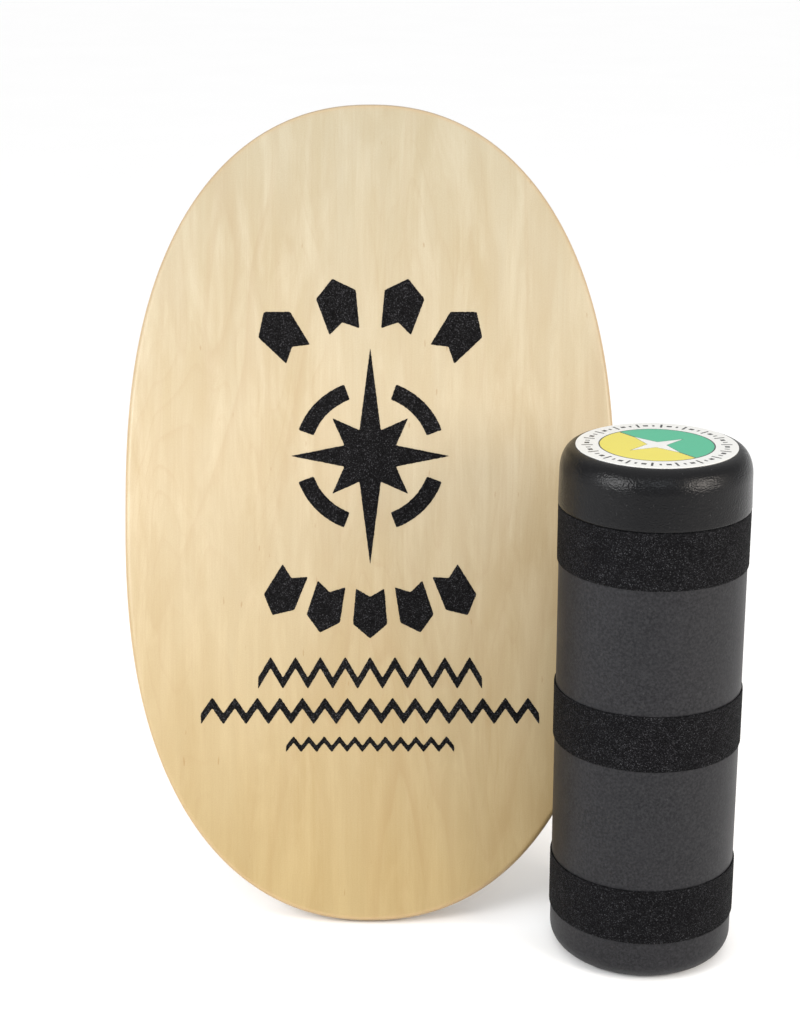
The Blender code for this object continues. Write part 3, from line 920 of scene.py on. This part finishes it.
def label_shapes(outer):
    """The label's print, back to front, as (outline, ink): 0 white, 1 black, 2, 3 colours."""
    disc = LABEL_DISC * outer
    inner, half = disc - LABEL_LINE, LABEL_LINE / 2
    turn = LABEL_SPLIT_ANGLE
    split = turned([(-inner, -half), (inner, -half), (inner, half), (-inner, half)],
                   math.radians(turn))
    reach, waist = (share * disc for share in LABEL_STAR)
    thin = star(reach - LABEL_STAR_LINES[0] * LABEL_LINE, waist - LABEL_STAR_LINES[1] * LABEL_LINE, 4)
    shapes = [(circle(disc, 120), 1),
              (circle(inner, 90, turn, turn + 180), 2),
              (circle(inner, 90, turn - 180, turn), 3),
              (split, 1),
              (turned(star(reach, waist, 4), LABEL_STAR_TURN), 1),
              (turned(thin, LABEL_STAR_TURN), 0)]
    for i in range(LABEL_TICKS):
        low, high, half = LABEL_TICK_SIZES[i % len(LABEL_TICK_SIZES)]
        tick = [(low * outer, -half), (high * outer, -half), (high * outer, half),
                (low * outer, half)]
        shapes.append((turned(tick, 2 * math.pi * i / LABEL_TICKS), 1))
    return shapes


def make_label(inks):
    """A vinyl disc whose printed areas are separate faces, with a thin rounded edge."""
    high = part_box("cap_label")[1]
    outer = radius_of("cap_label")
    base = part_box("roller_cap")[1].z + LABEL_LIFT
    shapes = label_shapes(outer)
    flat, edges = [], []
    for points in [circle(outer - LABEL_EDGE, LABEL_STEPS)] + [shape for shape, _ in shapes]:
        first = len(flat)
        flat += [Vector(p) for p in points]
        edges += [(first + i, first + (i + 1) % len(points)) for i in range(len(points))]
    points, _, triangles, _, _, _ = delaunay_2d_cdt(flat, edges, [], 1, 1e-7)
    verts = [(p.x, p.y, high.z) for p in points]
    centres = np.array([np.mean([points[i] for i in t], axis=0) for t in triangles])
    kinds = np.zeros(len(triangles), dtype=int)
    for shape, ink in shapes:
        kinds[inside_polygon(centres, shape)] = ink
    faces = [tuple(t) for t in triangles]
    kinds = list(kinds)
    rim = [i for i, p in enumerate(points) if p.length > outer - 1.05 * LABEL_EDGE]
    rim.sort(key=lambda i: math.atan2(points[i].y, points[i].x))
    edge = [points[i].normalized() * outer for i in rim]
    for z in (high.z - LABEL_EDGE, base):
        ring = [len(verts) + i for i in range(len(rim))]
        verts += [(p.x, p.y, z) for p in edge]
        for i in range(len(rim)):
            j = (i + 1) % len(rim)
            faces.append((ring[i], ring[j], rim[j], rim[i]))
            kinds.append(0)
        rim = ring
    faces.append(tuple(reversed(rim)))
    kinds.append(0)
    mesh = mesh_from("label", verts, faces, smooth=False)
    for polygon, kind in zip(mesh.polygons, kinds):
        polygon.material_index = int(kind)
    finish_piece("label", mesh, ROLLER_FRAME, "roller", ["cap_label"], inks)


# ---- Stage -----------------------------------------------------------------
def make_floor():
    mat, tree, shader, coords = new_material("pale_floor")
    tone = noise(tree, coords, 3.0, 2.0)
    link(tree, mix(tree, tone, (0.93, 0.93, 0.93), (0.95, 0.95, 0.95)), shader, "Base Color")
    shader.inputs["Roughness"].default_value = 0.9
    shader.inputs["Specular IOR Level"].default_value = 0.1
    h = FLOOR_HALF
    mesh = mesh_from("floor", [(-h, -h, 0), (h, -h, 0), (h, h, 0), (-h, h, 0)], [(0, 1, 2, 3)],
                     smooth=False)
    mesh.materials.append(mat)
    floor = bpy.data.objects.new("floor", mesh)
    bpy.context.scene.collection.objects.link(floor)
    floor.location.z = -FLOOR_DROP


def area_light(name, target, place, width, height, power, colour):
    light = bpy.data.lights.new(name, "AREA")
    light.shape = "RECTANGLE"
    light.size, light.size_y = width, height
    light.energy = power
    light.color = colour
    obj = bpy.data.objects.new(name, light)
    bpy.context.scene.collection.objects.link(obj)
    obj.location = place
    obj.rotation_euler = (Vector(target) - Vector(place)).to_track_quat("-Z", "Y").to_euler()


def make_world():
    """An even studio dome, brightest overhead."""
    world = bpy.data.worlds.new("studio")
    bpy.context.scene.world = world
    world.use_nodes = True
    tree = world.node_tree
    background = tree.nodes["Background"]
    up = node(tree, "SeparateXYZ", {"Vector": node(tree, "TexCoord").outputs["Generated"]})
    strength = ramp(tree, up.outputs["Z"], *DOME)
    tree.links.new(strength, background.inputs["Strength"])
    background.inputs["Color"].default_value = (1.0, 1.0, 1.0, 1.0)


def make_lights():
    make_world()
    aim = (AXIS.x, AXIS.y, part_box("roller_cap")[1].z)
    for name, settings in LIGHTS.items():
        area_light(name, aim, *settings)


def make_camera():
    data = bpy.data.cameras.new("camera")
    data.sensor_fit = "VERTICAL"
    data.sensor_height = SENSOR_HEIGHT
    data.lens = LENS
    camera = bpy.data.objects.new("camera", data)
    bpy.context.scene.collection.objects.link(camera)
    camera.location = CAMERA_PLACE
    camera.rotation_euler = (math.pi / 2 - CAMERA_DOWN, 0.0, 0.0)
    bpy.context.scene.camera = camera


def main():
    bpy.context.scene.view_settings.view_transform = "Standard"
    rng = np.random.default_rng(RNG_SEED)
    make_camera()
    make_lights()
    make_floor()
    make_deck(birch_plywood())
    print_grit = grit_surface("print_grit", *PRINT_GRIT)
    for name in sorted(n for n in NODES if n.startswith("grit_")):
        make_patch(name, print_grit, rng)
    hardwood, zinc = stop_hardwood(), screw_zinc()
    for end in ("head", "tail"):
        screws = [n for n in sorted(NODES) if n.startswith(f"stop_screw_{end}")]
        make_stop(f"stop_{end}", screws, hardwood)
        for screw in screws:
            make_screw(screw, zinc)
    make_tube(tube_plastic())
    make_cap(cap_plastic())
    tape = grit_surface("tape_grit", *TAPE_GRIT)
    for name in sorted(n for n in NODES if n.startswith("grip_band")):
        make_band(name, tape, rng)
    make_label([label_ink(name, colour) for name, colour in LABEL_INKS])


main()
